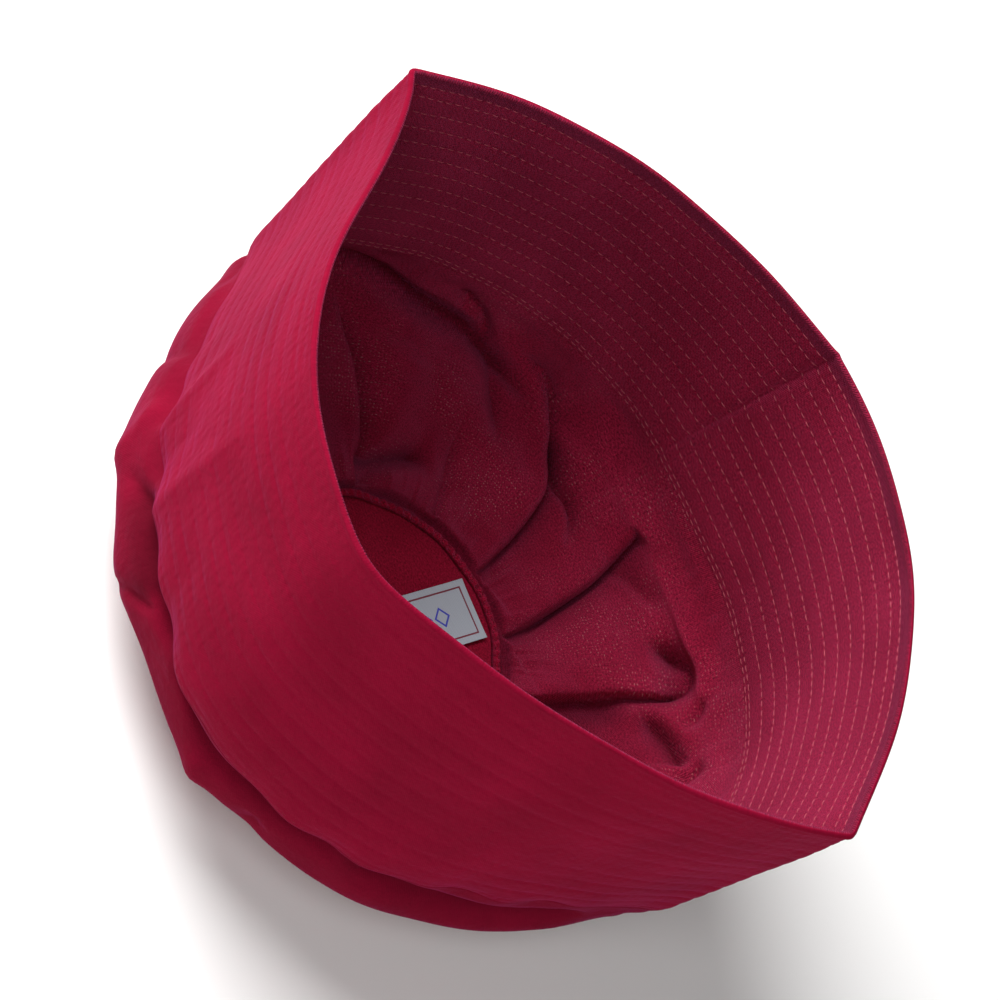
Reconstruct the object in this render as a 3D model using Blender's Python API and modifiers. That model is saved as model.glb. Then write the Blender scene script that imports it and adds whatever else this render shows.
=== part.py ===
# Soft brimless cap with a stiff quilted band and a gathered crown, resting on its
# round top with the head opening upwards. Metres, +Z up, origin under the top's middle.
# +X runs from the sharp front fold to the sharp back fold, +Y across the cap.

import math
from collections import namedtuple

import bmesh
import bpy
import numpy as np

# Band: one strip that stands round the head, folded flat in storage.
RIM_LENGTH = 0.2144        # between the two sharp folds, at the open edge
RIM_WIDTH = 0.1758         # between the two soft folds, at the open edge
SEAM_LENGTH = 0.2035       # the same two sizes where the band meets the crown
SEAM_WIDTH = 0.1847
BAND_HEIGHT = 0.080
BAND_THICKNESS = 0.0020

# Crown: a thin wall gathered into pleats round a flat disc.
CROWN_DEPTH = 0.040        # from the band's seam down to the inside of the disc
CROWN_THICKNESS = 0.0012
TOP_RADIUS = 0.0425
TOP_THICKNESS = 0.0015

# Seam allowance turned over the disc's edge, inside.
ALLOWANCE_WIDTH = 0.0046
ALLOWANCE_THICKNESS = 0.0008
ALLOWANCE_LAP = 0.0010     # how far it reaches out over the hem

# Woven label sewn to the inside of the disc.
LABEL_LENGTH = 0.056
LABEL_WIDTH = 0.018
LABEL_THICKNESS = 0.0005
LABEL_CORNER = 0.0008
LABEL_TURN = math.radians(-8.0)
LABEL_END_X = 0.0063       # middle of its far end, across the cap

GAP = 0.0003               # between pieces that touch
SEAM_GAP = 0.00055         # between the band and the crown, whose edges tilt
AROUND = 96                # columns round the cap, four even panels
BAND_ROWS = 2
CROWN_ROWS = 18
MIN_FOLD_WIDTH = 0.0045    # narrowest fold side that this grid can carry
SEWN_SHARE = 0.10          # the folds flatten over this share of the way to each seam

# The four folds in storage order round the cap. Places are shares of half the
# length and half the width, heights are shares of the band's height.
Corner = namedtuple("Corner", "name rim_x rim_y rim_z seam_x seam_y")
CORNERS = [
    Corner("back_fold", 0.975, 0.027, 0.993, 0.987, 0.070),
    Corner("far_fold", -0.008, 0.990, 0.990, -0.038, 0.979),
    Corner("front_fold", -1.025, 0.027, 1.003, -1.013, 0.000),
    Corner("near_fold", -0.047, -1.010, 0.993, 0.020, -1.021),
]

# The four panels between the folds: how far each bows out, which end the bow
# leans to, and how much it gains towards both ends, as shares of its own chord.
Panel = namedtuple("Panel", "name rim_bow rim_lean rim_tip seam_bow seam_lean seam_tip")
PANELS = [
    Panel("back_far", 0.167, 0.018, 0.000, 0.222, -0.026, -0.025),
    Panel("far_front", 0.130, 0.012, -0.006, 0.194, -0.028, 0.036),
    Panel("front_near", 0.124, 0.086, -0.060, 0.134, 0.028, -0.022),
    Panel("near_back", 0.076, 0.012, 0.006, 0.134, -0.070, -0.001),
]

# Section of the crown from the seam to the hem: how far in towards the disc,
# and how far down, as shares of the whole way.
Station = namedtuple("Station", "name inward drop")
CROWN_SECTION = [
    Station("seam", 0.000, 0.00),
    Station("side", -0.015, 0.20),
    Station("turn", 0.030, 0.45),
    Station("shoulder", 0.170, 0.60),
    Station("ring", 0.520, 0.80),
    Station("pleats", 0.850, 0.955),
    Station("hem", 1.000, 1.00),
]

# Folds of the crown's cloth. Each runs from (out_angle, out_reach) to (in_angle,
# in_reach): degrees round the cap from the back fold, and shares of the way from
# the hem to the seam. Bow is a share of its length, towards smaller angles; depth
# and the widths of its two sides are shares of CROWN_DEPTH.
Fold = namedtuple("Fold", "out_angle out_reach in_angle in_reach bow depth left right")
FOLDS = [
    Fold(20, 0.66, 18, 0.00, 0.03, 0.110, 0.16, 0.26),
    Fold(60, 0.80, 43, 0.02, 0.00, 0.140, 0.16, 0.32),
    Fold(82, 0.78, 66, 0.02, 0.04, 0.160, 0.14, 0.28),
    Fold(96, 0.56, 91, 0.01, 0.01, 0.140, 0.13, 0.28),
    Fold(123, 0.62, 118, 0.04, -0.02, 0.100, 0.16, 0.28),
    Fold(158, 0.74, 155, 0.01, 0.08, 0.140, 0.28, 0.14),
    Fold(186, 0.60, 186, 0.00, 0.04, 0.110, 0.24, 0.16),
    Fold(211, 0.68, 213, 0.00, -0.05, 0.130, 0.16, 0.26),
    Fold(240, 0.50, 241, 0.00, 0.02, 0.100, 0.26, 0.16),
    Fold(266, 0.56, 268, 0.00, -0.03, 0.110, 0.16, 0.28),
    Fold(298, 0.52, 296, 0.00, 0.03, 0.100, 0.28, 0.18),
    Fold(331, 0.66, 326, 0.00, 0.05, 0.130, 0.18, 0.26),
    Fold(352, 0.54, 350, 0.00, -0.04, 0.100, 0.24, 0.16),
    Fold(164, 0.88, 106, 0.70, -0.10, 0.080, 0.22, 0.16),
    Fold(104, 0.72, 86, 0.46, 0.04, 0.060, 0.16, 0.16),
    Fold(124, 0.76, 111, 0.48, 0.04, 0.050, 0.16, 0.16),
]

# Soft bulges of the crown's side: where each stands, how far it spreads round the
# cap in degrees and along the wall, and how far it stands out in shares of CROWN_DEPTH.
Bulge = namedtuple("Bulge", "angle reach wide high out")
BULGES = [
    Bulge(208, 0.80, 30, 0.16, 0.07),
    Bulge(280, 0.86, 22, 0.18, -0.09),
    Bulge(332, 0.80, 24, 0.16, 0.08),
    Bulge(359, 0.82, 10, 0.14, -0.07),
]

SEAM_Z = TOP_THICKNESS + CROWN_DEPTH
HEM_RADIUS = TOP_RADIUS + GAP
HEM_Z = 0.5 * TOP_THICKNESS


def clear_scene():
    for old in list(bpy.data.objects):
        bpy.data.objects.remove(old, do_unlink=True)


def new_collection(name):
    made = bpy.data.collections.new(name)
    bpy.context.scene.collection.children.link(made)
    return made


def make_material(name, colour, roughness):
    material = bpy.data.materials.new(name)
    material.use_nodes = True
    shader = material.node_tree.nodes["Principled BSDF"]
    shader.inputs["Base Color"].default_value = (*colour, 1.0)
    shader.inputs["Roughness"].default_value = roughness
    shader.inputs["Metallic"].default_value = 0.0
    return material


def smooth_step(value):
    held = np.clip(value, 0.0, 1.0)
    return held * held * (3.0 - 2.0 * held)


def panel_curve(places, bows, share):
    """Closed curve through four corners. share runs 0 to 4, one whole number a panel.

    Each panel is its straight chord plus 4t(1-t) times (bow + lean u + tip u^2)
    chords outwards, where u runs from -1 to 1 along it.
    """
    panel = np.minimum(share.astype(int), 3)
    t = share - panel
    u = 2.0 * t - 1.0
    start, end = places[panel], places[(panel + 1) % 4]
    chord = end - start
    outward = np.stack([chord[..., 1], -chord[..., 0]], axis=-1)
    bow, lean, tip = (bows[panel, column] for column in range(3))
    rise = 4.0 * t * (1.0 - t) * (bow + lean * u + tip * u * u)
    return start + chord * t[..., None] + outward * rise[..., None]


def rim_curve(share):
    half = 0.5 * np.array([RIM_LENGTH, RIM_WIDTH])
    places = np.array([[c.rim_x, c.rim_y] for c in CORNERS]) * half
    return panel_curve(places, np.array([[p.rim_bow, p.rim_lean, p.rim_tip] for p in PANELS]), share)


def seam_curve(share):
    half = 0.5 * np.array([SEAM_LENGTH, SEAM_WIDTH])
    places = np.array([[c.seam_x, c.seam_y] for c in CORNERS]) * half
    return panel_curve(places, np.array([[p.seam_bow, p.seam_lean, p.seam_tip] for p in PANELS]), share)


def rim_height(share):
    """Height of the open edge: straight between the heights of its corners."""
    heights = [c.rim_z for c in CORNERS]
    return SEAM_Z + BAND_HEIGHT * np.interp(share, range(5), heights + heights[:1])


def band_grid():
    """Straight lines from the seam up to the rim."""
    share, up = np.meshgrid(np.arange(AROUND) * 4.0 / AROUND, np.linspace(0, 1, BAND_ROWS + 1))
    plan = (1 - up)[..., None] * seam_curve(share) + up[..., None] * rim_curve(share)
    height = (1 - up) * SEAM_Z + up * rim_height(share)
    return np.concatenate([plan, height[..., None]], axis=-1)


def crown_section(steps):
    """(inward, drop) at even steps along a smooth curve through the stations."""
    table = np.array([[s.inward, s.drop] for s in CROWN_SECTION])
    real = table * [0.5 * SEAM_LENGTH - HEM_RADIUS, CROWN_DEPTH]
    along = np.concatenate([[0], np.cumsum(np.linalg.norm(np.diff(real, axis=0), axis=1))])
    slope = np.gradient(table, along, axis=0)
    slope[0] = [0.0, 1.0 / CROWN_DEPTH]
    slope[-1, 1] = 0.0
    at = np.linspace(0, along[-1], steps)
    i = np.clip(np.searchsorted(along, at, side="right") - 1, 0, len(along) - 2)
    width = (along[i + 1] - along[i])[:, None]
    q = (at - along[i])[:, None] / width
    return (
        (2 * q**3 - 3 * q**2 + 1) * table[i]
        + (q**3 - 2 * q**2 + q) * width * slope[i]
        + (3 * q**2 - 2 * q**3) * table[i + 1]
        + (q**3 - q**2) * width * slope[i + 1]
    ), along[-1]


def fold_depth(angle, reach, slant):
    """How far the folds push the cloth outwards, on the crown laid flat as a ring.

    Across a fold the depth falls off as exp(-distance / side width), and along it
    the depth fades in from both ends.
    """
    radius = HEM_RADIUS + reach * slant
    flat = np.stack([radius * np.cos(angle), radius * np.sin(angle)], axis=-1)
    total = np.zeros_like(angle)
    for fold in FOLDS:
        ends = []
        for degrees, share in ((fold.out_angle, fold.out_reach), (fold.in_angle, fold.in_reach)):
            turn, away = math.radians(degrees), HEM_RADIUS + share * slant
            ends.append(np.array([away * math.cos(turn), away * math.sin(turn)]))
        line = ends[1] - ends[0]
        length = np.linalg.norm(line)
        line = line / length
        side = np.array([-line[1], line[0]])
        along = ((flat - ends[0]) @ line) / length
        bow = 4.0 * np.clip(along, 0, 1) * (1 - np.clip(along, 0, 1)) * fold.bow * length
        across = (flat - ends[0]) @ side - bow
        widths = np.where(across < 0, fold.left, fold.right) * CROWN_DEPTH
        widths = np.maximum(widths, MIN_FOLD_WIDTH)
        fade = smooth_step(along / 0.35) * smooth_step((1.02 - along) / 0.12)
        total += fold.depth * CROWN_DEPTH * fade * np.exp(-np.abs(across) / widths)
    return total


def bulge_height(angle, reach):
    """Each bulge is exp(-(turn / wide)^2 - (way / high)^2) of its height."""
    total = np.zeros_like(angle)
    for bulge in BULGES:
        turn = (np.degrees(angle) - bulge.angle + 180.0) % 360.0 - 180.0
        far = (turn / bulge.wide) ** 2 + ((reach - bulge.reach) / bulge.high) ** 2
        total += bulge.out * CROWN_DEPTH * np.exp(-far)
    return total


def crown_grid():
    """Rings that pass from the seam's outline to the round hem, pushed out by the folds."""
    section, slant = crown_section(CROWN_ROWS + 1)
    share, row = np.meshgrid(np.arange(AROUND) * 4.0 / AROUND, np.arange(CROWN_ROWS + 1))
    inward, drop = section[row, 0], section[row, 1]
    angle = 0.5 * math.pi * share
    hem = HEM_RADIUS * np.stack([np.cos(angle), np.sin(angle)], axis=-1)
    plan = (1 - inward)[..., None] * seam_curve(share) + inward[..., None] * hem
    height = (1 - drop) * (SEAM_Z - SEAM_GAP) + drop * HEM_Z
    ring = np.concatenate([plan, height[..., None]], axis=-1)
    round_way = np.roll(ring, -1, axis=1) - np.roll(ring, 1, axis=1)
    outward = np.cross(round_way, np.gradient(ring, axis=0))
    outward /= -np.linalg.norm(outward, axis=-1)[..., None]
    reach = 1.0 - row / CROWN_ROWS
    sewn = smooth_step((1.0 - reach) / SEWN_SHARE) * smooth_step(reach / SEWN_SHARE)
    pushed = fold_depth(angle, reach, slant) + bulge_height(angle, reach)
    ring = ring + outward * (pushed * sewn)[..., None]
    ring[..., 2] = np.maximum(ring[..., 2], HEM_Z)
    return ring


def sheet_object(name, grid, thickness, material, collection):
    """An open loft of the grid's rows, closed round the cap, with a wall from Solidify."""
    rows, columns = grid.shape[:2]
    mesh = bpy.data.meshes.new(name)
    row, column = np.meshgrid(np.arange(rows - 1), np.arange(columns), indexing="ij")
    beside = (column + 1) % columns
    faces = np.stack(
        [row * columns + column, row * columns + beside,
         (row + 1) * columns + beside, (row + 1) * columns + column], axis=-1)
    mesh.from_pydata(grid.reshape(-1, 3).tolist(), [], faces.reshape(-1, 4).tolist())
    mesh.materials.append(material)
    mesh.shade_smooth()
    made = bpy.data.objects.new(name, mesh)
    collection.objects.link(made)
    wall = made.modifiers.new("wall", "SOLIDIFY")
    wall.thickness = thickness
    wall.offset = 0.0
    return made


def make_band(collection):
    cloth = make_material("band_cotton", (0.32, 0.010, 0.050), 0.85)
    return sheet_object("band", band_grid(), BAND_THICKNESS, cloth, collection)


def make_crown_side(collection):
    cloth = make_material("crown_cotton", (0.24, 0.008, 0.040), 0.85)
    grid = crown_grid()[::-1]
    return sheet_object("crown_side", grid, CROWN_THICKNESS, cloth, collection)


def make_crown_top(collection):
    """The flat disc that the cap rests on."""
    mesh = bpy.data.meshes.new("crown_top")
    disc = bmesh.new()
    bmesh.ops.create_cone(
        disc, cap_ends=True, segments=AROUND, radius1=TOP_RADIUS, radius2=TOP_RADIUS, depth=TOP_THICKNESS)
    disc.to_mesh(mesh)
    disc.free()
    mesh.shade_smooth()
    mesh.set_sharp_from_angle(angle=math.radians(40))
    mesh.materials.append(make_material("top_cotton", (0.20, 0.007, 0.035), 0.85))
    made = bpy.data.objects.new("crown_top", mesh)
    made.location.z = 0.5 * TOP_THICKNESS
    collection.objects.link(made)
    return made


def make_allowance(collection):
    """A flat ring over the join of disc and hem, turned from its section."""
    inner = TOP_RADIUS + ALLOWANCE_LAP - ALLOWANCE_WIDTH
    outer = TOP_RADIUS + ALLOWANCE_LAP
    low = TOP_THICKNESS + GAP
    high = low + ALLOWANCE_THICKNESS
    mesh = bpy.data.meshes.new("top_seam")
    corners = [(outer, 0, high), (outer, 0, low), (inner, 0, low), (inner, 0, high)]
    mesh.from_pydata(corners, [(0, 1), (1, 2), (2, 3), (3, 0)], [])
    mesh.materials.append(make_material("seam_cotton", (0.22, 0.007, 0.037), 0.85))
    made = bpy.data.objects.new("top_seam", mesh)
    collection.objects.link(made)
    turned = made.modifiers.new("turned", "SCREW")
    turned.steps = AROUND
    turned.render_steps = AROUND
    turned.use_merge_vertices = True
    turned.merge_threshold = 0.0001
    return made


def make_label(collection):
    """A thin woven strip across the disc, its far end against the turned seam."""
    mesh = bpy.data.meshes.new("label")
    strip = bmesh.new()
    bmesh.ops.create_cube(strip, size=1.0)
    bmesh.ops.scale(strip, vec=(LABEL_WIDTH, LABEL_LENGTH, LABEL_THICKNESS), verts=strip.verts)
    upright = [e for e in strip.edges if abs(e.verts[0].co.z - e.verts[1].co.z) > 0.5 * LABEL_THICKNESS]
    bmesh.ops.bevel(strip, geom=upright, offset=LABEL_CORNER, segments=3, affect="EDGES")
    strip.to_mesh(mesh)
    strip.free()
    mesh.materials.append(make_material("label_satin", (0.35, 0.33, 0.35), 0.6))
    made = bpy.data.objects.new("label", mesh)
    reach = TOP_RADIUS + ALLOWANCE_LAP - ALLOWANCE_WIDTH - GAP
    along = np.array([-math.sin(LABEL_TURN), math.cos(LABEL_TURN)])
    beside = 0.5 * LABEL_WIDTH * np.array([math.cos(LABEL_TURN), math.sin(LABEL_TURN)])
    corner_x = LABEL_END_X + beside[0]
    far_end = np.array([LABEL_END_X, math.sqrt(reach**2 - corner_x**2) - beside[1]])
    middle = far_end - 0.5 * LABEL_LENGTH * along
    made.location = (*middle, TOP_THICKNESS + GAP + 0.5 * LABEL_THICKNESS)
    made.rotation_euler.z = LABEL_TURN
    collection.objects.link(made)
    return made


def main():
    clear_scene()
    cap = new_collection("kufi_cap")
    make_band(cap)
    make_crown_side(cap)
    make_crown_top(cap)
    make_allowance(cap)
    make_label(cap)
    print("made", len(cap.objects), "pieces")


main()
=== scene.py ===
# A soft cap of quilted cotton that rests on its round top, open end up, in a plain studio.
# Metres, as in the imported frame: +X from the sharp front fold to the sharp back fold,
# +Y across the cap, +Z from the round top to the open rim.

import math
from functools import partial

import bpy
import numpy as np
from mathutils import Matrix, Vector


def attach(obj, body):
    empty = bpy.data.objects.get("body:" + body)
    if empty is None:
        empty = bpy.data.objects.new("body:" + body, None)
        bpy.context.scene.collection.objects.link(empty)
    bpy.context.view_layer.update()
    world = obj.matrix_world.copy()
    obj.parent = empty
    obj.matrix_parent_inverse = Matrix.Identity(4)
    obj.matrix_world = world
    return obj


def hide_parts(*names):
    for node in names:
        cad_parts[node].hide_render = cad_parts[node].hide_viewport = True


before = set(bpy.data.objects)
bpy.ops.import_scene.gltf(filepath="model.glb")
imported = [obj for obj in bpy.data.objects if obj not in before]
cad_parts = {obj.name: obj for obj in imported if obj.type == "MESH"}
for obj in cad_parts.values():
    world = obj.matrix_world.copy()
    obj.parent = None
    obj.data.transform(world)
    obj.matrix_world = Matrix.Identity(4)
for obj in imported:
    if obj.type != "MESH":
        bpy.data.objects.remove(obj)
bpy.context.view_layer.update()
print("frame loaded")


# Small tools

def linearColour(hexColour):
    # sRGB to linear: c / 12.92 under 0.04045, else ((c + 0.055) / 1.055) to the power 2.4
    shares = [int(hexColour[i:i + 2], 16) / 255 for i in (1, 3, 5)]
    return (*[s / 12.92 if s <= 0.04045 else ((s + 0.055) / 1.055) ** 2.4 for s in shares], 1.0)


def smoothStep(value):
    # 3t^2 - 2t^3 on 0 to 1, held outside
    held = np.clip(value, 0.0, 1.0)
    return held * held * (3.0 - 2.0 * held)


def unit(vectors):
    return vectors / np.linalg.norm(vectors, axis=-1, keepdims=True)


def softNoise(rows, columns, rowLength, columnLength, seed):
    # Random grid blurred by a Gaussian that is rowLength and columnLength samples wide,
    # closed round the columns, then scaled to a spread of 1.
    grid = np.random.default_rng(seed).normal(size=(2 * rows, columns))
    across = np.fft.fftfreq(2 * rows)[:, None] * rowLength
    along = np.fft.fftfreq(columns)[None, :] * columnLength
    grid = np.fft.ifft2(np.fft.fft2(grid) * np.exp(-2 * np.pi**2 * (across**2 + along**2))).real[:rows]
    return (grid - grid.mean()) / grid.std()


def waveSum(waves, around, down=0.0):
    # Sum of height * sin(times around * around + times down * down + phase)
    return sum(tall * np.sin(across * around + along * down + phase) for tall, across, along, phase in waves)


def polar(radius, turn):
    # x and y at a radius and a turn from +X
    return np.stack([radius * np.cos(turn), radius * np.sin(turn)], axis=-1)


def lengthAlong(line):
    # Distance from the line's first point to each of its points
    return np.concatenate([[0], np.cumsum(np.linalg.norm(np.diff(line, axis=0), axis=1))])


def sceneObject(name, data):
    made = bpy.data.objects.new(name, data)
    bpy.context.scene.collection.objects.link(made)
    return made


def surfaceObject(name, points, uv, marks=None, outsideRows=None):
    # A grid of points that closes both ways becomes quads between neighbouring rows and columns.
    # uv has one more line each way. Quads from the row outsideRows on take the second material.
    rows, columns = points.shape[:2]
    row, column = np.meshgrid(np.arange(rows), np.arange(columns), indexing="ij")
    steps = [(0, 0), (0, 1), (1, 1), (1, 0)]
    corners = np.stack([((row + i) % rows) * columns + (column + j) % columns for i, j in steps], axis=-1)
    corners = corners.reshape(-1, 4)
    flat = points.reshape(-1, 3)
    a, b, c, d = (flat[corners[:, k]] for k in range(4))
    volume = (np.einsum("ij,ij->i", a, np.cross(b, c)) + np.einsum("ij,ij->i", a, np.cross(c, d))).sum()
    turned = volume < 0      # a closed shell has to face outwards
    if turned:
        corners = corners[:, ::-1]
    mesh = bpy.data.meshes.new(name)
    mesh.vertices.add(len(flat))
    mesh.vertices.foreach_set("co", flat.astype(np.float32).ravel())
    mesh.loops.add(corners.size)
    mesh.loops.foreach_set("vertex_index", corners.astype(np.int32).ravel())
    mesh.polygons.add(len(corners))
    mesh.polygons.foreach_set("loop_start", np.arange(0, corners.size, 4, dtype=np.int32))
    mesh.update(calc_edges=True)
    if outsideRows is not None:
        mesh.polygons.foreach_set("material_index", (row.ravel() >= outsideRows).astype(np.int32))
    places = np.stack([uv[row + i, column + j] for i, j in steps], axis=2).reshape(-1, 4, 2)
    places = places[:, ::-1] if turned else places
    mesh.uv_layers.new(name="cloth").data.foreach_set("uv", places.astype(np.float32).ravel())
    for markName, values in (marks or {}).items():
        mark = mesh.attributes.new(markName, "FLOAT", "POINT")
        mark.data.foreach_set("value", values.astype(np.float32).ravel())
    mesh.shade_smooth()
    return sceneObject(name, mesh)


def setInputs(tree, node, inputs):
    # An input is a number, a hex colour, or what it is linked from: a socket, or a node whose
    # first open output is taken
    for key, value in inputs.items():
        if isinstance(value, bpy.types.Node):
            value = next(socket for socket in value.outputs if socket.enabled)
        if isinstance(value, bpy.types.NodeSocket):
            tree.links.new(value, node.inputs[key])
        else:
            node.inputs[key].default_value = linearColour(value) if isinstance(value, str) else value


def addNode(tree, kind, inputs=None, **settings):
    node = tree.nodes.new("ShaderNode" + kind)
    for key, value in settings.items():
        setattr(node, key, value)
    setInputs(tree, node, inputs or {})
    return node


def newMaterial(name):
    material = bpy.data.materials.new(name)
    material.use_nodes = True
    tree = material.node_tree
    return material, tree, tree.nodes["Principled BSDF"]


# Outlines of the open rim and of the seam between band and crown

outline = {
    "rimLength": 0.2144, "rimWidth": 0.1758,      # between the sharp folds, between the soft folds
    "seamLength": 0.2035, "seamWidth": 0.1847,
    "seamHeight": 0.0415, "bandHeight": 0.080,
    # how widely the cloth rounds at the two sharp storage folds and at the two soft ones
    "sharpFold": 0.0010, "farFold": 0.0026, "nearFold": 0.0075,
    "steps": 2880,
    # corner: rim x, rim y, rim height, seam x, seam y, in shares of half sizes and of the height
    "corners": [(0.975, 0.027, 0.993, 0.987, 0.070), (-0.008, 0.990, 0.990, -0.038, 0.979),
                (-1.027, 0.027, 1.003, -1.010, 0.000), (-0.047, -1.010, 0.993, 0.020, -1.021)],
    # panel: bow, lean and tip of the rim, then of the seam, in shares of the panel's chord
    "panels": [(0.163, 0.024, 0.000, 0.222, -0.026, -0.025), (0.127, 0.007, -0.006, 0.194, -0.028, 0.036),
               (0.124, 0.086, -0.060, 0.134, 0.028, -0.022), (0.080, 0.014, 0.006, 0.140, -0.052, -0.001)],
    "blend": (0.48, 0.2),      # where a soft fold's rounding ends and over how much it fades, in panels
}
denseShare = np.arange(outline["steps"]) * 4.0 / outline["steps"]


def roundedOutline(places, bows):
    # Each panel is its straight chord plus 4t(1-t)(bow + lean u + tip u^2) chords outwards,
    # u from -1 to 1. A Gaussian mean along the line rounds the corners, its width set by the fold.
    panel = denseShare.astype(int)
    t = denseShare - panel
    u = 2 * t - 1
    start, end = places[panel], places[(panel + 1) % 4]
    chord = end - start
    outward = np.stack([chord[:, 1], -chord[:, 0]], axis=-1)
    rise = 4 * t * (1 - t) * (bows[panel, 0] + bows[panel, 1] * u + bows[panel, 2] * u * u)
    raw = start + chord * t[:, None] + outward * rise[:, None]
    step = np.linalg.norm(np.roll(raw, -1, axis=0) - raw, axis=1).mean()
    frequency, spectrum = np.fft.fftfreq(len(raw))[:, None], np.fft.fft(raw, axis=0)
    sharp, far, near = (
        np.fft.ifft(spectrum * np.exp(-2 * (np.pi * frequency * outline[key] / step) ** 2), axis=0).real
        for key in ("sharpFold", "farFold", "nearFold"))
    end, fade = outline["blend"]
    for corner, softened in ((1, far), (3, near)):
        weight = smoothStep((end - np.abs(denseShare - corner)) / fade)[:, None]
        sharp = sharp * (1 - weight) + softened * weight
    return sharp


def sampled(table, share):
    # Reads a closed table of columns at any share round the cap, 0 to 4
    return np.stack([np.interp(share, denseShare, column, period=4.0) for column in table.T], axis=-1)


def crowdedShares(columns, density):
    # Shares round the cap for a piece's columns, spaced as one over the density
    fine = np.linspace(0, 4, 8001)
    weight = density(fine)
    filled = np.concatenate([[0], np.cumsum(0.5 * (weight[1:] + weight[:-1]))])
    return np.interp(np.arange(columns) / columns, filled / filled[-1], fine)


cornerTable = np.array(outline["corners"])
panelTable = np.array(outline["panels"])
halfRim = 0.5 * np.array([outline["rimLength"], outline["rimWidth"]])
halfSeam = 0.5 * np.array([outline["seamLength"], outline["seamWidth"]])
rimPlan = roundedOutline(cornerTable[:, 0:2] * halfRim, panelTable[:, 0:3])
seamPlan = roundedOutline(cornerTable[:, 3:5] * halfSeam, panelTable[:, 3:6])
rimRise = outline["bandHeight"] * np.interp(denseShare, range(5), [*cornerTable[:, 2], cornerTable[0, 2]])
rimLine = np.column_stack([rimPlan, outline["seamHeight"] + rimRise])
seamLine = np.column_stack([seamPlan, np.full(len(seamPlan), outline["seamHeight"])])
rimStep = 0.5 * (np.roll(rimLine, -1, axis=0) - np.roll(rimLine, 1, axis=0))
seamStep = 0.5 * (np.roll(seamLine, -1, axis=0) - np.roll(seamLine, 1, axis=0))
girth = np.linalg.norm(seamStep, axis=1).sum()
print("outlines ready, rim", round(float(np.linalg.norm(rimStep, axis=1).sum()), 4), "m")


# The band: a stiff wall of two cloth layers, quilted in close rows

band = {
    "columns": 520, "foldCrowd": 3, "foldReach": 0.03,      # columns crowd at the four folds
    "insidePerGap": 8, "outsidePerGap": 5, "rimPoints": 9,      # points of the section
    "wall": 0.0011,            # through a stitch row
    "puffInside": 0.00016, "puffOutside": 0.00024, "uneven": 0.30,
    "rimRadius": 0.00095,
    "edgeLine": 0.0020,        # the turned edge's inner line, below the rim
    "firstRow": 0.0046, "secondRow": 0.0089, "rowGap": 0.0062, "evenGaps": 11, "lastGap": 0.0017,
    "end": 0.0797, "endThinned": 0.00014,      # the outer layer is thinner where it ends over the crown
    "rowReach": 0.0009,        # how far from a row its puckers show
    "stitchPitch": 0.0028, "stitchLength": 0.00195, "threadWidth": 0.00024,
    "threadProud": 0.00008, "threadSunk": 0.00014,      # above the wall inside, into it outside
    "pitchPlay": 0.04, "rowPlay": 0.00006, "lengthPlay": 0.05,
    # wave: height, times per panel, times per metre of depth, phase
    "slowWaves": [(0.00018, 3.25, 6, 2.513)],
    "lowWaves": [(0.000175, 2.25, 9, 0.0), (0.000125, 5.5, -14, 1.885)],      # towards the crown's gathers
    "tuck": 0.0015,            # how far the seam is drawn in along the two near panels, with waves
    "tuckWaves": [(0.0006, 6.7, 0, 1.0), (0.0005, 4.3, 0, 0.0)],
    "panelLength": 0.147,
    # crease that runs down the wall: share and depth of its two ends, half width, height outwards
    "creases": [(1.000, -0.012, 1.015, 0.075, 0.0012, 0.0012),
                (2.425, 0.040, 2.495, 0.100, 0.0040, 0.0013), (2.680, 0.024, 2.615, 0.100, 0.0040, 0.0012),
                (2.550, 0.052, 2.555, 0.100, 0.0060, -0.0012), (2.300, 0.058, 2.290, 0.100, 0.0050, -0.0008),
                (2.790, 0.050, 2.830, 0.100, 0.0070, -0.0008), (3.350, 0.052, 3.370, 0.100, 0.0080, 0.0007),
                (3.550, 0.060, 3.560, 0.100, 0.0070, -0.0006),
                (2.000, -0.012, 2.000, 0.110, 0.0040, 0.0009), (0.000, -0.012, 0.000, 0.110, 0.0040, 0.0009)],
}
rowDepths = np.array(
    [band["firstRow"]] + [band["secondRow"] + k * band["rowGap"] for k in range(band["evenGaps"] + 1)])
rowDepths = np.append(rowDepths, rowDepths[-1] + band["lastGap"])
quiltEdges = np.concatenate([[band["edgeLine"]], rowDepths, [band["end"]]])


def bandBend(share, depth):
    # Slow waves of the wall, with more towards the crown's gathers; less the tuck of the seam,
    # over the last 12 mm of the near panels; plus creases, each
    # height * exp(-(distance / half width)^1.4), fading in at its ends
    around, down = 2 * np.pi * share, 2 * np.pi * depth
    slow, low, tuck = (waveSum(band[key], around, down) for key in ("slowWaves", "lowWaves", "tuckWaves"))
    nearPanels = smoothStep((share - 2.0) / 0.4) * smoothStep((3.97 - share) / 0.2)
    bend = slow + low * smoothStep((depth - 0.045) / 0.035)
    bend = bend - nearPanels * (band["tuck"] + tuck) * np.clip((depth - 0.068) / 0.012, 0, 1) ** 2
    for share0, depth0, share1, depth1, halfWidth, height in band["creases"]:
        t = (depth - depth0) / (depth1 - depth0)
        away = ((share - share0 - (share1 - share0) * t + 2) % 4 - 2) * band["panelLength"]
        fade = smoothStep(t / 0.3) * smoothStep((1.15 - t) / 0.3)
        bend = bend + height * fade * np.exp(-((np.abs(away) / halfWidth) ** 1.4))
    return bend


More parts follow.
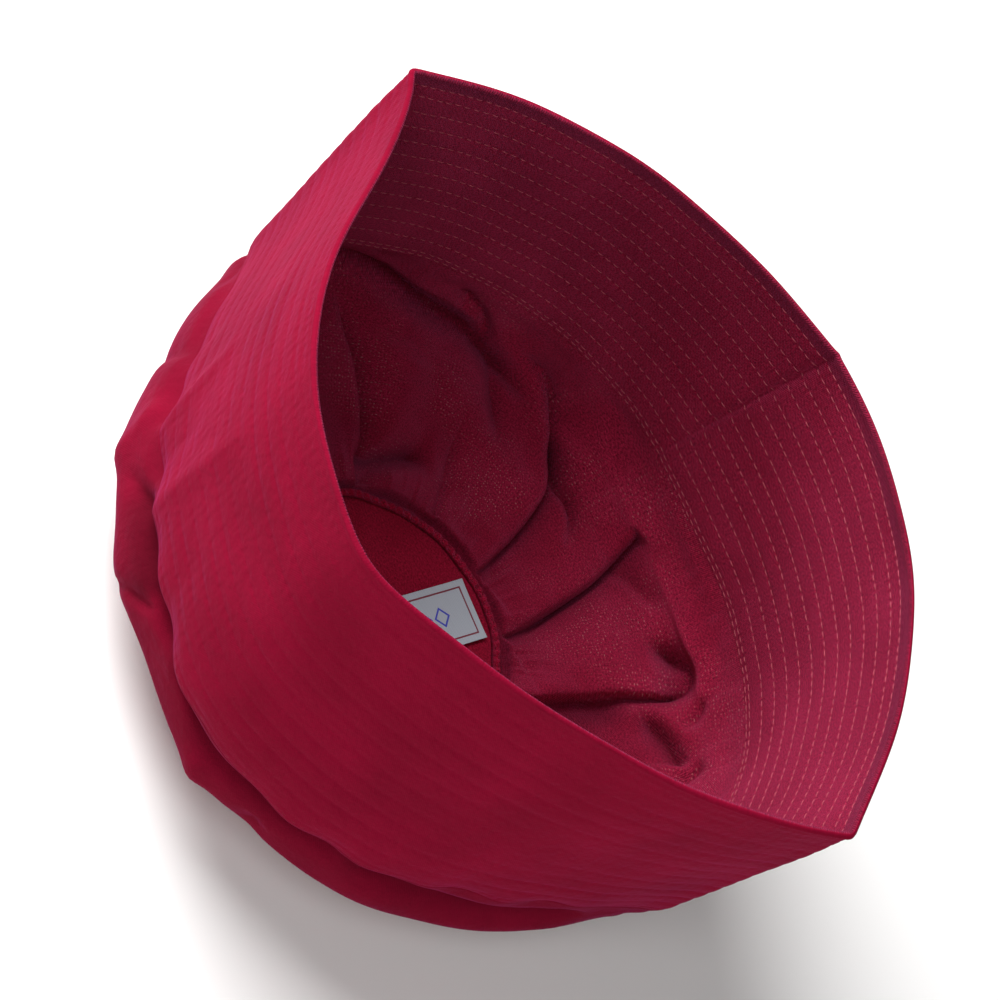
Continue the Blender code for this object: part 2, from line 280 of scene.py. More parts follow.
def bandPoint(share, depth, offset):
    # A straight line from seam to rim, then offset along the wall's outward normal
    up = 1 - depth / outline["bandHeight"]
    low, high = sampled(seamLine, share), sampled(rimLine, share)
    slope = high - low
    along = sampled(seamStep, share) * (1 - up)[..., None] + sampled(rimStep, share) * up[..., None]
    normal = unit(np.cross(along, slope))
    return low + slope * up[..., None] + normal * (offset + bandBend(share, depth))[..., None], normal


def quiltProfile(depth, puff):
    # Between two stitch rows the layer stands up as (4x(1-x))^0.4, less in a narrow gap
    k = np.clip(np.searchsorted(quiltEdges, depth, side="right") - 1, 0, len(quiltEdges) - 2)
    gap = quiltEdges[k + 1] - quiltEdges[k]
    x = np.clip((depth - quiltEdges[k]) / gap, 0, 1)
    return puff * (4 * x * (1 - x)) ** 0.4 * np.minimum(1, (gap / band["rowGap"]) ** 0.8)


def sectionDepths(perGap):
    # Depths that crowd towards each row, from the turned edge to the band's end
    parts = []
    for low, high in zip(quiltEdges[:-1], quiltEdges[1:]):
        count = max(3, round(perGap * (high - low) / band["rowGap"]))
        parts.append(low + (high - low) * (0.5 - 0.5 * np.cos(np.pi * np.arange(count) / count)))
    return np.append(np.concatenate(parts), band["end"])


def makeBand():
    # A closed loop of section points carried round the cap, its columns close at the four folds
    fromFold = lambda share: np.abs((share + 0.5) % 1 - 0.5) / band["foldReach"]
    density = lambda share: 1 + band["foldCrowd"] * np.exp(-(fromFold(share) ** 2))
    shares = crowdedShares(band["columns"], density)
    inside, outside = sectionDepths(band["insidePerGap"])[::-1], sectionDepths(band["outsidePerGap"])
    turn = np.linspace(-0.5 * np.pi, 0.5 * np.pi, band["rimPoints"])
    half, radius = 0.5 * band["wall"], band["rimRadius"]
    lowest = outline["bandHeight"] - 0.0001
    depth = np.concatenate([inside, radius - radius * np.cos(turn), outside, [lowest]])
    offset = np.concatenate([
        -half - quiltProfile(inside, band["puffInside"]), radius * np.sin(turn),
        half + quiltProfile(outside, band["puffOutside"]), [0.0]])
    offset = offset - band["endThinned"] * np.clip((depth - 0.0775) / 0.0022, 0, 1) ** 2 * (offset > 0)
    share, depths = np.meshgrid(shares, depth)
    uneven = 1 + band["uneven"] * softNoise(len(depth), band["columns"], 3, 9, 11)
    base = np.where(np.abs(offset) > half, half * np.sign(offset), offset)[:, None]
    lift = offset[:, None] - base
    points, _ = bandPoint(share, depths, base + lift * uneven)
    length = np.append(depth, depth[-1] + 0.0005)
    uv = np.stack(np.meshgrid(np.append(shares, 4.0) * girth / 4, length), axis=-1)
    nearRow = np.exp(-np.abs(depths[..., None] - rowDepths).min(axis=-1) / band["rowReach"])
    edge = np.clip((band["firstRow"] + 0.0003 - depths) / 0.0004, 0, 1) * (offset[:, None] < 0)
    marks = {"nearRow": nearRow, "edgeStrip": edge}
    return surfaceObject("band_quilted", points, uv, marks, outsideRows=len(inside) + len(turn) // 2)


def stitchMesh(name, rows, width):
    # Each stitch is a spindle: rings at t from -1 to 1 of radius (1 - t^4)^0.5, on an arc
    # that rises as 1 - t^2 and dips into the cloth at its ends. A row gives the centres of its
    # stitches, the way they run, the way that is up, and their lengths.
    centres, along, lift, length = (np.concatenate(field) for field in zip(*rows))
    rings, sides = np.array([-0.97, -0.55, 0.0, 0.55, 0.97]), 5
    across = unit(np.cross(lift, along))
    turn = np.arange(sides) * 2 * np.pi / sides
    radius = 0.5 * width * np.sqrt(1 - rings**4)
    t = rings[:, None, None]
    centres, along, lift, across = (field[:, None, None] for field in (centres, along, lift, across))
    spine = centres + along * (0.5 * length)[:, None, None, None] * t
    spine = spine + lift * (0.75 * width * (1 - t**2) - 0.35 * width)
    ring = across * np.cos(turn)[:, None] + lift * np.sin(turn)[:, None]
    points = spine + ring * radius[:, None, None]
    ringIndex, sideIndex = np.meshgrid(np.arange(len(rings) - 1) * sides, np.arange(sides), indexing="ij")
    beside = (sideIndex + 1) % sides
    quads = np.stack([ringIndex + sideIndex, ringIndex + beside,
                      ringIndex + sides + beside, ringIndex + sides + sideIndex], axis=-1).reshape(-1, 4)
    caps = np.array([np.arange(sides)[::-1], (len(rings) - 1) * sides + np.arange(sides)])
    first = np.arange(len(points))[:, None, None] * len(rings) * sides
    faces = [(corners + first)[..., ::-1].reshape(-1, corners.shape[1]).tolist() for corners in (quads, caps)]
    mesh = bpy.data.meshes.new(name)
    mesh.from_pydata(points.reshape(-1, 3).tolist(), [], faces[0] + faces[1])
    mesh.shade_smooth()
    return sceneObject(name, mesh)


def makeBandStitches(name, side, width, above):
    # Even stitches by arc length along every row, with a little play in place and length
    random = np.random.default_rng(5 if side < 0 else 6)
    rows = []
    for depth in rowDepths:
        line, _ = bandPoint(denseShare, np.full(len(denseShare), depth), np.zeros(len(denseShare)))
        reach = lengthAlong(np.append(line, line[:1], axis=0))
        count = int(reach[-1] / band["stitchPitch"])
        place = np.arange(count) + random.uniform(0, 1) + random.normal(0, band["pitchPlay"], count)
        share = np.interp(place * reach[-1] / count % reach[-1], reach, np.append(denseShare, 4.0))
        depths = depth + random.normal(0, band["rowPlay"], count)
        proud = side * (0.5 * band["wall"] + above)
        middle, normal = bandPoint(share, depths, np.full(count, proud))
        ahead, _ = bandPoint(share + 0.004, depths, np.full(count, proud))
        lengths = band["stitchLength"] * (1 + random.normal(0, band["lengthPlay"], count))
        rows.append((middle, unit(ahead - middle), side * normal, lengths))
    return stitchMesh(name, rows, width)


# The crown: thin cloth gathered from the band's seam into the hem round the flat top

crown = {
    "columns": 620, "insideRows": 102, "outsideRows": 58,
    "hemCrowd": 1.3,           # rows crowd near the hem by this power, inside
    "crowd": 1.5,              # how much closer the columns stand on the far half
    "rollRows": (2, 3), "rollColumns": (4, 8),      # grid lines a fold rolls over outside, then is softened
    "outsideSwell": 0.18,      # how much more a fold stands out outside
    "depth": 0.040, "wall": 0.0009, "hemRadius": 0.0428, "hemHeight": 0.0009,
    "lobePuff": 0.0036,        # how far the lower cloth bulges inwards
    "slitWidth": 0.0008, "seamReach": 0.005,      # of a fold's narrow cut; how far the band's bends carry on
    "floor": 0.0003,           # the lowest that a fold may hang
    "seed": 21,
    # wrinkle: size along and round the crown in grid lines, height; gathers are higher at the hem
    "wrinkles": [(2.2, 5, 0.00018), (5, 12, 0.00040)],
    "gathers": (9, 1.6), "gathersAtSeam": 0.00011, "gathersAtHem": 0.00020,
    "bulgeShadeHeight": 0.018,        # the bulge height that is painted as strongly as a deep fold: painted shade where the face sinks, painted highlight where it rises
    "hemPaintedShade": (0.7, 0.022),   # how strongly shade is painted along the hem, and how far up
    # station: how far in towards the hem, how far down, in shares of the way
    "section": [(0.000, 0.00), (-0.015, 0.20), (0.030, 0.45), (0.170, 0.60), (0.520, 0.80), (0.850, 0.955),
                (1.000, 1.00)],
    # bulge: angle, share of the way from hem to seam, spread in degrees and along the way, and
    # height in shares of the crown's depth
    "bulges": [(207, 0.78, 22, 0.18, 0.062), (142, 0.46, 8, 0.26, -0.070), (280, 0.86, 22, 0.18, -0.09),
               (335, 0.72, 22, 0.13, 0.085), (300, 0.72, 14, 0.14, 0.030), (277, 0.84, 6, 0.10, 0.036),
               (359, 0.82, 10, 0.14, -0.07), (243, 0.70, 9, 0.13, 0.062), (190, 0.88, 7, 0.14, 0.035),
               (258, 0.80, 11, 0.18, -0.060), (268, 0.76, 8, 0.16, -0.025), (311, 0.80, 9, 0.16, 0.015),
               (186, 0.90, 9, 0.14, -0.025), (218, 0.74, 12, 0.14, 0.038), (66, 0.80, 44, 0.15, -0.080),
               (33, 0.40, 11, 0.20, 0.140)],
}

# A fold: path, in degrees round the cap and percent of the way from hem to seam; push outwards;
# widths of its left and right side; power, 1 a sharp crease and 2 a soft dent; shares over which
# it fades in and out; and what only some have: lap, how far the left side hangs over it, slit, the
# depth of a narrow cut in its line, and mark, how strongly shade is painted along it. Lengths here are in
# millimetres.
crown["folds"] = [
    ([(160, 74), (157, 66), (154, 51), (151, 33), (150, 20), (151, 2)],
     6.0, 1.4, 4.5, 1.0, (0.3, 0.03), {"lap": 2.0, "slit": 1.0}),
    ([(156, 10), (149, 10), (144, 13), (138, 17), (132, 21), (125, 22)],
     8.0, 2.6, 4.0, 1.5, (0.15, 0.25), {}),
    ([(124, 50), (123, 45), (122, 32), (120, 20), (118, 3)],
     2.2, 6.0, 1.6, 1.0, (0.5, 0.03), {"slit": 0.9}),
    ([(123, 74), (120, 65), (117, 57), (114, 49), (112, 40)], 4.6, 3.2, 2.4, 1.5, (0.3, 0.5), {}),
    ([(170, 86), (161, 85.5), (154, 83), (148, 80), (142, 77.5), (138, 75.5), (135, 75.5),
      (130, 76), (125, 73), (121, 71), (118, 70), (113, 69), (109, 67)],
     9.5, 3.0, 3.0, 1.5, (0.12, 0.2), {"slit": 1.2}),
    ([(137, 91), (133, 86), (129, 84), (126, 79), (123, 75)],
     4.5, 2.0, 2.0, 1.3, (0.3, 0.3), {"slit": 0.6}),
    ([(121, 83), (117, 79), (112, 79), (109, 76), (106.5, 71), (103, 64), (97, 52),
      (96, 45), (94, 30), (93, 15), (92, 2)], 7.0, 1.3, 5.0, 1.0, (0.25, 0.02), {"lap": 2.0, "slit": 1.2}),
    ([(105, 66), (100, 58), (96, 54), (93, 55), (89, 51), (85, 40)],
     6.0, 1.4, 3.6, 1.1, (0.2, 0.45), {"slit": 1.5}),
    ([(83, 78), (82, 76), (81, 69), (77, 51), (74, 32), (70, 14), (67, 2)],
     8.0, 1.3, 6.0, 1.0, (0.08, 0.02), {"lap": 2.6, "slit": 2.5}),
    ([(80, 56), (76, 64), (70, 69), (66, 71)], 3.4, 3.0, 3.6, 1.8, (0.35, 0.35), {}),
    ([(61, 61), (59.5, 69), (56, 75.5), (52.5, 73.5), (51, 66), (51, 56)],
     6.4, 3.8, 2.8, 1.4, (0.25, 0.4), {}),
    ([(53, 75), (51, 66), (50.5, 56), (50.5, 46), (49, 33), (45, 15), (42, 2)],
     5.0, 0.9, 6.0, 1.5, (0.2, 0.03), {"lap": 2.4, "slit": 0.6}),
    # this fold and the next paint shade below the fold above
    ([(48, 54), (47, 44), (44.5, 31), (38, 16), (34, 4)], 3.6, 5.0, 11.0, 2.3, (0.25, 0.1), {"mark": 0.75}),
    ([(48, 53), (44, 60), (40.5, 66), (37, 70), (34.5, 71)],
     6.2, 6.5, 2.2, 1.6, (0.35, 0.2), {"mark": 0.95}),
    ([(50, 83), (46, 76), (42, 69)], 3.8, 2.6, 2.0, 1.3, (0.4, 0.4), {}),
    ([(37, 80), (34, 75), (30, 69)], 3.6, 2.4, 2.0, 1.3, (0.4, 0.4), {}),
    ([(112, 64), (104, 68), (100, 72), (94, 74), (85, 76), (73, 78), (66, 78), (59, 80),
      (48, 79), (34, 76)], -2.2, 6.0, 5.0, 1.7, (0.15, 0.25), {}),
    ([(64, 62), (58, 70), (54, 69), (51, 60)], 3.0, 5.0, 5.0, 2.0, (0.35, 0.35), {}),
    ([(21, 68), (19, 35), (18, 2)], 6.0, 1.6, 7.0, 1.0, (0.3, 0.03), {"lap": 2.6, "slit": 1.5}),
    ([(186, 62), (185, 30), (186, 2)], 6.0, 7.0, 1.6, 1.0, (0.3, 0.03), {"lap": -2.6, "slit": 1.5}),
    ([(210, 60), (213, 35), (213, 2)], 6.0, 1.6, 7.0, 1.0, (0.3, 0.03), {"lap": 2.6, "slit": 1.0}),
    ([(240, 52), (240, 25), (241, 2)], 5.0, 7.0, 1.6, 1.0, (0.3, 0.03), {"lap": -2.4, "slit": 1.0}),
    ([(266, 56), (267, 30), (268, 2)], 5.5, 1.6, 7.0, 1.0, (0.3, 0.03), {"lap": 2.6, "slit": 1.0}),
    ([(298, 54), (297, 25), (296, 2)], 5.0, 7.0, 1.6, 1.0, (0.3, 0.03), {"lap": -2.4, "slit": 1.0}),
    ([(331, 68), (328, 35), (326, 2)], 6.0, 1.6, 7.0, 1.0, (0.3, 0.03), {"lap": 2.6, "slit": 1.0}),
    ([(352, 56), (351, 30), (350, 2)], 5.0, 7.0, 1.6, 1.0, (0.3, 0.03), {"lap": -2.2, "slit": 1.0}),
    # seen from outside, where the crown leaves the band
    ([(176, 93), (184, 93), (192, 90)], -1.6, 4.0, 3.0, 1.6, (0.3, 0.4), {}),
    ([(206, 99), (203, 84), (204, 66)], -1.4, 3.0, 5.0, 1.3, (0.2, 0.5), {}),
    ([(216, 99), (221, 86), (224, 70)], 1.6, 4.0, 6.0, 1.7, (0.15, 0.4), {}),
    ([(224, 80), (229, 88), (236, 95), (246, 97), (256, 97), (262, 96)],
     -4.6, 4.0, 3.4, 1.4, (0.3, 0.2), {"mark": -0.95}),
    # mostly painted shade: a dent only 0.3 mm deep, darkened in paint on the crown's outer face
    ([(228, 85), (234, 89), (240, 91), (246, 91), (251, 90)],
     -0.3, 12.0, 12.0, 2.0, (0.3, 0.15), {"mark": -0.9}),
    ([(253, 92), (249, 86), (245, 77), (243, 70)], -1.8, 1.2, 1.6, 1.3, (0.25, 0.25), {}),
    ([(258, 97), (268, 93), (282, 93), (296, 94.5), (308, 95.5)], -4.0, 2.2, 2.8, 1.3, (0.12, 0.2), {}),
    ([(300, 95), (312, 92), (326, 88), (340, 87), (352, 91)], -7.0, 4.0, 4.0, 1.5, (0.15, 0.2), {}),
    ([(273, 90), (276, 78), (277, 62)], 1.6, 4.0, 5.0, 1.7, (0.3, 0.5), {}),
    ([(288, 86), (286, 70)], -2.0, 4.0, 4.0, 1.8, (0.4, 0.5), {}),
]


def crownSection(steps):
    # Hermite curve through the stations, even in length: share in, share down, whole length
    table = np.array(crown["section"])
    real = table * [0.5 * outline["seamLength"] - crown["hemRadius"], crown["depth"]]
    along = lengthAlong(real)
    slope = np.gradient(table, along, axis=0)
    slope[0], slope[-1, 1] = [0.0, 1.0 / crown["depth"]], 0.0
    at = np.linspace(0, along[-1], steps)
    i = np.clip(np.searchsorted(along, at, side="right") - 1, 0, len(along) - 2)
    width = (along[i + 1] - along[i])[:, None]
    q = (at - along[i])[:, None] / width
    curve = ((2 * q**3 - 3 * q**2 + 1) * table[i] + (q**3 - 2 * q**2 + q) * width * slope[i]
             + (3 * q**2 - 2 * q**3) * table[i + 1] + (q**3 - q**2) * width * slope[i + 1])
    return curve, along[-1]


def smoothPath(path, slant):
    # Chord-even points along the path on the crown laid flat as a ring, then softened
    degrees, percent = np.array(path).T
    flat = polar(crown["hemRadius"] + percent / 100 * slant, np.radians(degrees))
    along = lengthAlong(flat)
    line = np.stack([np.interp(np.linspace(0, along[-1], 40), along, column) for column in flat.T], axis=-1)
    for _ in range(6):
        line[1:-1] = 0.25 * line[:-2] + 0.5 * line[1:-1] + 0.25 * line[2:]
    return line


def rolledOver(field):
    # The largest value near each grid point, then a mean weighted 1 - (steps / (radius + 1))^2,
    # over rows and then round the columns, which close
    for smooth in (False, True):
        for axis, reach, ends in ((0, "rollRows", "edge"), (1, "rollColumns", "wrap")):
            radius = crown[reach][smooth]
            padded = np.pad(field, [(radius, radius) if k == axis else (0, 0) for k in range(2)], mode=ends)
            windows = np.lib.stride_tricks.sliding_window_view(padded, 2 * radius + 1, axis=axis)
            weight = 1 - (np.arange(-radius, radius + 1) / (radius + 1)) ** 2
            field = windows @ (weight / weight.sum()) if smooth else windows.max(axis=-1)
    return field


def foldField(angle, reach, slant):
    # Each fold pushes the cloth by push * exp(-(distance / side width)^power), fading at its
    # ends, and a slit adds a narrow cut to its line. Lap slides the lobe beside a crease over it
    # by lap * (1 - e^(-d/w)) * e^(-d/3.5w). The painted shading is the push again over half the
    # widths, 1 standing for 9 mm where the fold has no mark of its own: painted shade in valleys, painted
    # highlight on ridges.
    # Folds over 2 mm deep are kept apart as deep, because the outside shows them rolled over.
    flat = polar(crown["hemRadius"] + reach * slant, angle).reshape(-1, 2)
    push, deep, slide, paintedShading = (np.zeros(len(flat)) for _ in range(4))
    for path, depth, left, right, power, (fadeIn, fadeOut), more in crown["folds"]:
        line = smoothPath(path, slant)
        start, run = line[:-1], np.diff(line, axis=0)
        length2 = (run**2).sum(axis=1)
        apart = flat[:, None] - start[None]
        t = np.clip((apart * run[None]).sum(axis=-1) / length2, 0, 1)
        gap = apart - run[None] * t[..., None]
        distance = np.hypot(gap[..., 0], gap[..., 1])
        near = distance.argmin(axis=1)
        pick = np.arange(len(flat))
        side = run[near, 0] * apart[pick, near, 1] - run[near, 1] * apart[pick, near, 0]
        d = distance[pick, near]
        share = (near + t[pick, near]) / len(run)
        width = 0.001 * np.where(side < 0, left, right)
        fade = smoothStep(share / fadeIn) * smoothStep((1 - share) / fadeOut)
        moved = 0.001 * depth * fade * np.exp(-((d / width) ** power))
        moved += 0.001 * more.get("slit", 0.0) * fade * np.exp(-d / crown["slitWidth"])
        if depth > 2:
            deep += moved
        else:
            push += moved
        # painted shade along the fold, as strong as its mark, else its depth over 9 mm
        paintedShading += more.get("mark", depth / 9) * fade * np.exp(-((2 * d / width) ** power))
        lap, w = more.get("lap", 0.0), 0.001 * min(left, right)
        lobe = side < 0 if lap > 0 else side > 0
        slide += lobe * -0.001 * lap * fade * (1 - np.exp(-d / w)) * np.exp(-d / (3.5 * w))
    return [field.reshape(angle.shape) for field in (push, deep, slide, paintedShading)]


# columns stand closer where the pleats are seen from inside
crownShares = crowdedShares(crown["columns"], lambda share: (
    1 + crown["crowd"] * smoothStep((share - 0.05) / 0.3) * smoothStep((2.1 - share) / 0.3)))


def crownRelief(reach):
    # Small wrinkles all over, and fine gathers near seam and hem, read at each reach
    level = np.linspace(0, 1, 101)
    gathers = (crown["gathersAtSeam"] * smoothStep((level - 0.70) / 0.25)
               + crown["gathersAtHem"] * smoothStep((0.30 - level) / 0.25))
    sizes = [*crown["wrinkles"], (*crown["gathers"], gathers[:, None])]
    relief = sum(tall * softNoise(len(level), crown["columns"], along, around, crown["seed"] + k)
                 for k, (along, around, tall) in enumerate(sizes))
    return np.stack([np.interp(reach, level, column) for column in relief.T], axis=1)


def crownSurface(reach, side):
    # Seam outline blended into the hem circle by the section, then pushed along its normal
    # by folds, bulges and small wrinkles and slid round the cap where a fold laps.
    curve, slant = crownSection(401)
    share, row = np.meshgrid(crownShares, reach)
    inward, drop = (np.interp(1 - row, np.linspace(0, 1, 401), curve[:, k]) for k in range(2))
    angle = 0.5 * np.pi * share
    hem = polar(crown["hemRadius"], angle)
    plan = (1 - inward)[..., None] * sampled(seamPlan, share) + inward[..., None] * hem
    level = (1 - drop) * (outline["seamHeight"] + 0.0006) + drop * crown["hemHeight"]
    points = np.concatenate([plan, level[..., None]], axis=-1)
    roundWay = unit(np.roll(points, -1, axis=1) - np.roll(points, 1, axis=1))
    outward = unit(np.cross(roundWay, np.gradient(points, row[:, 0], axis=0)))
    push, deep, slide, paintedShading = foldField(angle, row, slant)
    for bulgeAngle, bulgeReach, wide, high, tall in crown["bulges"]:
        turn = (np.degrees(angle) - bulgeAngle + 180) % 360 - 180
        bulge = tall * crown["depth"] * np.exp(-((turn / wide) ** 2) - ((row - bulgeReach) / high) ** 2)
        push += bulge
        # a bulge adds painted shading too
        paintedShading += bulge / crown["bulgeShadeHeight"]
    lobe = smoothStep((row - 0.006) / 0.035) * (1 - smoothStep((row - 0.50) / 0.30))
    sewn = smoothStep((1 - row) / 0.06) * smoothStep((row - 0.003) / 0.025)
    dark, reachUp = crown["hemPaintedShade"]
    paintedShading = np.clip(side * -paintedShading, -0.3, 1) * sewn      # painted shade, 1 in a deep valley; below 0, painted highlight on a ridge
    paintedShading += dark * np.exp(-((row / reachUp) ** 2))      # and painted shade along the hem
    total = push + deep
    if side > 0:
        # Under the cap the cloth of a fold lies double and rolled over; where the crown turns
        # in below the near half of the band, folds are shallow and keep their own shape
        nearHalf = smoothStep((share - 2.0) / 0.2) * smoothStep((4.0 - share) / 0.2)
        shallow = smoothStep((row - 0.50) / 0.16) * nearHalf
        own = total + crown["outsideSwell"] * np.maximum(total, 0)
        rolled = push + crown["outsideSwell"] * np.maximum(push, 0) + rolledOver(deep)
        total, slide = rolled + (own - rolled) * shallow, slide * shallow
    move = (total - lobe * crown["lobePuff"] + crownRelief(reach)) * sewn + 0.5 * side * crown["wall"]
    atSeam = bandBend(share, np.full(share.shape, outline["bandHeight"]))      # the seam joins both pieces
    move = move + atSeam * np.exp(-(((1 - row) * slant / crown["seamReach"]) ** 2))
    points = points + outward * move[..., None] + roundWay * (slide * sewn)[..., None]
    points[..., 2] = np.maximum(points[..., 2], crown["floor"] + 0.5 * (1 - side) * crown["wall"])
    return points, slant, paintedShading


def makeCrown():
    # The inner face from seam to hem, and the outer face back up, as one closed surface
    insideReach = np.linspace(1, 0, crown["insideRows"]) ** crown["hemCrowd"]
    outsideReach = np.linspace(0, 1, crown["outsideRows"])
    inside, slant, insidePaintedShading = crownSurface(insideReach, -1)
    outside, _, outsidePaintedShading = crownSurface(outsideReach, 1)
    points = np.concatenate([inside, outside])
    down = slant * (1 - np.concatenate([insideReach, outsideReach, [1]]))
    uv = np.stack(np.meshgrid(np.append(crownShares, 4.0) * girth / 4, down), axis=-1)
    innerFace = np.zeros(points.shape[:2])
    innerFace[:crown["insideRows"]] = 1
    marks = {"innerFace": innerFace, "paintedShading": np.concatenate([insidePaintedShading, outsidePaintedShading])}
    return surfaceObject("crown_gathered", points, uv, marks, outsideRows=crown["insideRows"])


# The flat top, the turned seam over its edge, and the label

top = {
    "radius": 0.0425, "thickness": 0.0015, "columns": 240, "rings": 40, "dent": 0.0008, "calmEdge": 0.006,
    "seamInner": 0.0400, "seamOuter": 0.0423, "seamLow": 0.0012, "seamHigh": 0.0032,
    "seamColumns": 960, "seamPoints": 20,
    "twist": 0.00036, "turns": 96,      # how far the overcast threads raise the seam, and how often
    # wave: height, times round, nothing down, phase; the turned seam is never quite round nor flat
    "outWaves": [(0.00028, 5, 0, 0.7), (0.00024, 9, 0, 2.1), (0.00016, 17, 0, 0.4)],
    "upWaves": [(0.00018, 7, 0, 1.0), (0.00012, 19, 0, 0.0)],
    "stitchRows": (0.0406, 0.0416), "stitchPitch": 0.0022, "stitchLength": 0.0014, "threadWidth": 0.00032,
    "rowPinch": 0.00042, "rowReach": 0.00035,      # how deep a row draws the seam in, and how widely
    "threadSink": 0.00038, "play": 0.05,
}


def makeTop():
    # Two discs joined at the rim: r runs out over the upper face and back under the lower one.
    out = np.linspace(0.0004, 1, top["rings"])
    r = np.concatenate([out, out[::-1]]) * top["radius"]
    upper = np.concatenate([np.ones(top["rings"]), np.zeros(top["rings"])])
    turn = np.arange(top["columns"]) * 2 * np.pi / top["columns"]
    x, y = r[:, None] * np.cos(turn), r[:, None] * np.sin(turn)
    dents = (0.55 * np.sin(95 * x + 60 * y + 1.1) * np.sin(70 * y - 40 * x)
             + 0.35 * np.sin(150 * x - 120 * y + 2.0))
    calm = smoothStep((top["radius"] - r) / top["calmEdge"])[:, None]
    z = upper[:, None] * (top["thickness"] + top["dent"] * dents * calm)
    points = np.stack([x, y, z], axis=-1)
    uv = np.stack([np.append(x, x[:, :1], axis=1), np.append(y, y[:, :1], axis=1)], axis=-1)
    uv = np.append(uv, uv[:1], axis=0)
    return surfaceObject("crown_top_disc", points, uv)


def makeTopSeam():
    # A rounded strip carried round the disc: its section is a flattened ring, pinched at the
    # stitch rows, and overcast threads twist it, twist * sin(turns * turn + around)
    sides, columns = top["seamPoints"], top["seamColumns"]
    around, turn = (np.arange(count) * 2 * np.pi / count for count in (sides, columns))
    around, turn = np.meshgrid(around, turn)
    up, out = np.sin(around), np.cos(around)
    middle, half = 0.5 * (top["seamInner"] + top["seamOuter"]), 0.5 * (top["seamOuter"] - top["seamInner"])
    rise = 0.5 * (top["seamHigh"] - top["seamLow"])
    flat = middle + half * np.sign(out) * np.abs(out) ** 0.6
    r = flat + waveSum(top["outWaves"], turn)
    pinch = sum(np.exp(-((flat - row) / top["rowReach"]) ** 2) for row in top["stitchRows"])
    z = top["seamLow"] + rise + rise * up - top["rowPinch"] * pinch * (up > 0)
    z = z + waveSum(top["upWaves"], turn) * (up > -0.2)
    z = z + top["twist"] * np.sin(top["turns"] * turn + around) * np.maximum(up, 0)
    points = np.append(polar(r, turn), z[..., None], axis=-1)
    uv = np.stack(np.meshgrid(np.linspace(0, 0.012, sides + 1), np.linspace(0, 0.26, columns + 1)), axis=-1)
    marks = {"paintedShading": np.clip(0.8 - 1.3 * up, 0, 1)}      # painted shade where the strip meets the cloth
    return surfaceObject("top_seam_turned", points, uv, marks)


def makeTopStitches():
    # Even stitches round each row on the turned seam, which they follow in and out, up and down
    random = np.random.default_rng(9)
    rows = []
    for row in top["stitchRows"]:
        count = int(2 * np.pi * row / top["stitchPitch"])
        turn = (np.arange(count) + random.normal(0, top["play"], count)) * 2 * np.pi / count
        r = row + waveSum(top["outWaves"], turn)
        z = top["seamHigh"] - top["threadSink"] + waveSum(top["upWaves"], turn)
        middle = np.append(polar(r, turn), z[:, None], axis=-1)
        along = np.stack([-np.sin(turn), np.cos(turn), 0 * turn], axis=-1)
        lengths = top["stitchLength"] * (1 + random.normal(0, top["play"], count))
        rows.append((middle, along, np.repeat([[0.0, 0.0, 1.0]], count, axis=0), lengths))
    return stitchMesh("top_seam_stitches", rows, top["threadWidth"])


label = {
    "length": 0.056, "width": 0.018, "thickness": 0.0004, "turn": math.radians(-8),
    "endX": 0.0063, "endReach": 0.0386,      # the far end's place across, and its corner's from the middle
    "height": 0.0020, "columns": 37, "rows": 113, "lift": 0.0006,
    "inset": 0.0021, "line": 0.00024,        # the border line: from the edge, half its width
    # the row of lozenges: places each way from the middle, their pitch and half sizes
    "placesEachWay": 3, "pitch": 0.0064, "halfLong": 0.0029, "halfWide": 0.0031,
}


def makeLabel():
    # A thin sheet across the disc, its edges lifted a little; the two faces close at the rim.
    beside = polar(1, label["turn"])
    along = np.array([-beside[1], beside[0]])
    corner = 0.5 * label["width"] * beside
    farY = math.sqrt(label["endReach"] ** 2 - (label["endX"] + corner[0]) ** 2) - corner[1]
    middle = np.array([label["endX"], farY]) - 0.5 * label["length"] * along
    rows, columns = label["rows"], label["columns"]
    v, u = np.meshgrid(np.linspace(-0.5, 0.5, rows), np.linspace(-0.5, 0.5, columns), indexing="ij")
    plan = middle + v[..., None] * label["length"] * along + u[..., None] * label["width"] * beside
    farCorner = smoothStep((v - 0.40) / 0.10) * (0.5 - u)
    bow = label["lift"] * (0.25 * (2 * u) ** 4 + 0.35 * farCorner + 0.15 * np.sin(9 * v + 1))
    face = np.concatenate([plan, (label["height"] + bow + label["thickness"])[..., None]], axis=-1)
    back = face - [0, 0, label["thickness"]]
    index = np.arange(rows * columns).reshape(rows, columns)
    quads = np.stack([index[:-1, :-1], index[:-1, 1:], index[1:, 1:], index[1:, :-1]], axis=-1).reshape(-1, 4)
    rim = np.concatenate([index[0, :-1], index[:-1, -1], index[-1, :0:-1], index[:0:-1, 0]])
    after, total = np.roll(rim, -1), rows * columns
    sides = np.stack([rim, rim + total, after + total, after], axis=-1)
    faces = np.concatenate([quads, quads[:, ::-1] + total, sides])
    mesh = bpy.data.meshes.new("label_woven")
    mesh.from_pydata(np.concatenate([face.reshape(-1, 3), back.reshape(-1, 3)]).tolist(), [], faces.tolist())
    places = np.stack([u * label["width"], v * label["length"]], axis=-1).reshape(-1, 2)
    places = np.concatenate([places, places])[faces.ravel()]
    mesh.uv_layers.new(name="cloth").data.foreach_set("uv", places.astype(np.float32).ravel())
    mesh.shade_smooth()
    mesh.set_sharp_from_angle(angle=math.radians(50))
    return sceneObject("label_woven", mesh)


# Materials

